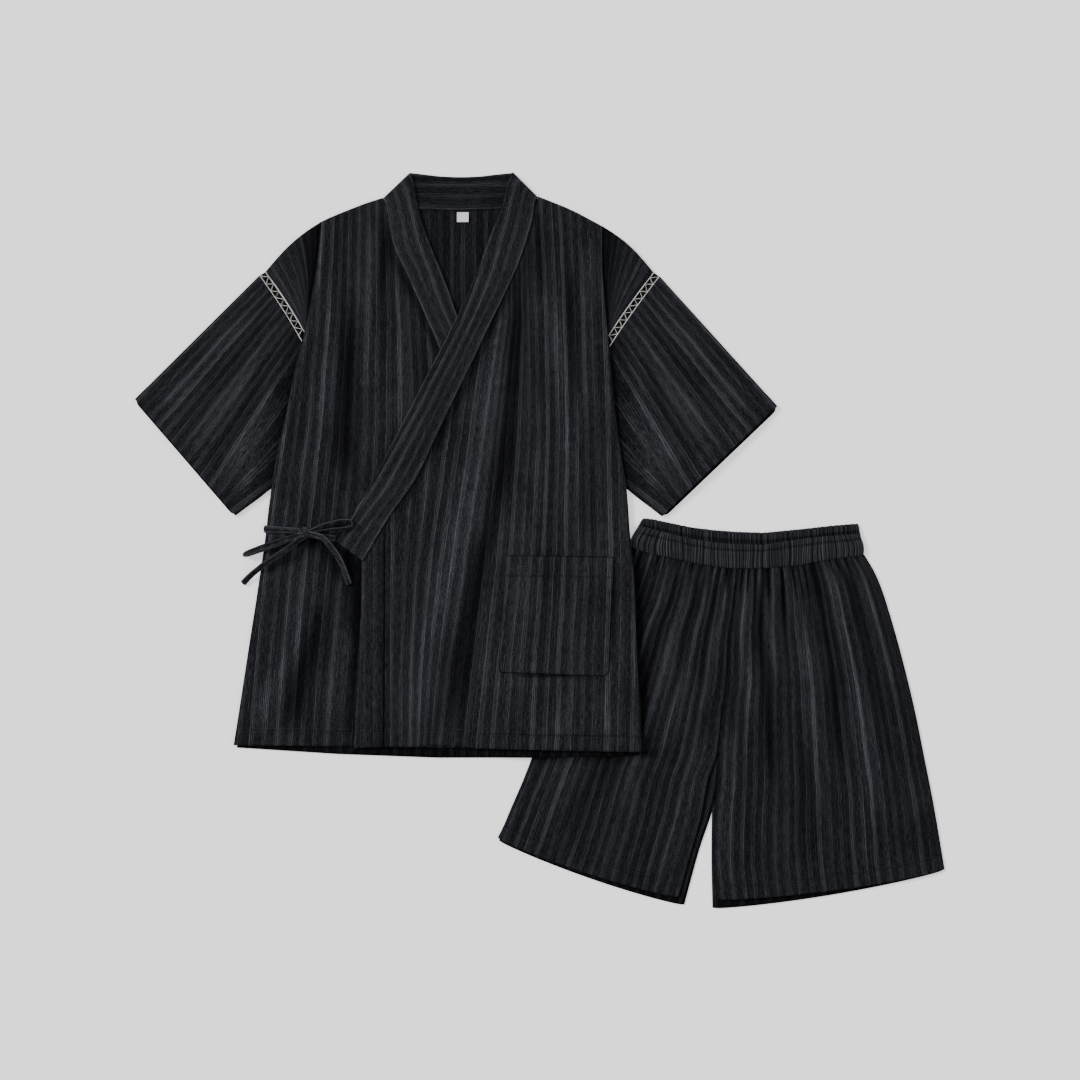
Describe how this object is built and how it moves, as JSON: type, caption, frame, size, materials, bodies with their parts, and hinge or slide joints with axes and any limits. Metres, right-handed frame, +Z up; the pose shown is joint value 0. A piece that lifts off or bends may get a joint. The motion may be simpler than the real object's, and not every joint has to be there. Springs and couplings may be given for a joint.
{
  "type": "jinbei set",
  "caption": "Wrapped short-sleeved cotton jacket with tie fastening, laid flat over its gathered knee-length shorts.",
  "frame": {"origin": "middle of the plan outline of jacket and shorts, on the surface they lie on", "axes": "+X towards the wearer's left of the jacket, where the shorts lie, +Y from the hem to the collar, +Z up out of the surface"},
  "size_m": [1.1062, 1.0049, 0.0183],
  "materials": {
    "cloth": "matte slubby cotton with fine lighter stripes",
    "lace_trim": "matte openwork cotton ladder trim",
    "label": "smooth woven tape, blank"
  },
  "bodies": {
    "root": {"jacket_back": "cloth", "front_right": "cloth", "front_left": "cloth", "okumi_right": "cloth", "okumi_left": "cloth", "collar": "cloth", "sleeve_right": "cloth", "sleeve_left": "cloth", "lace_right": "lace_trim", "lace_left": "lace_trim", "pocket": "cloth", "size_label": "label", "leg_right_front": "cloth", "leg_left_front": "cloth", "leg_right_back": "cloth", "leg_left_back": "cloth", "waistband": "cloth", "tie_side": "cloth", "tie_side_loop": "cloth", "tie_side_tail": "cloth", "tie_collar": "cloth", "tie_collar_loop": "cloth", "tie_collar_tail": "cloth", "tie_knot": "cloth"}
  },
  "joints": []
}
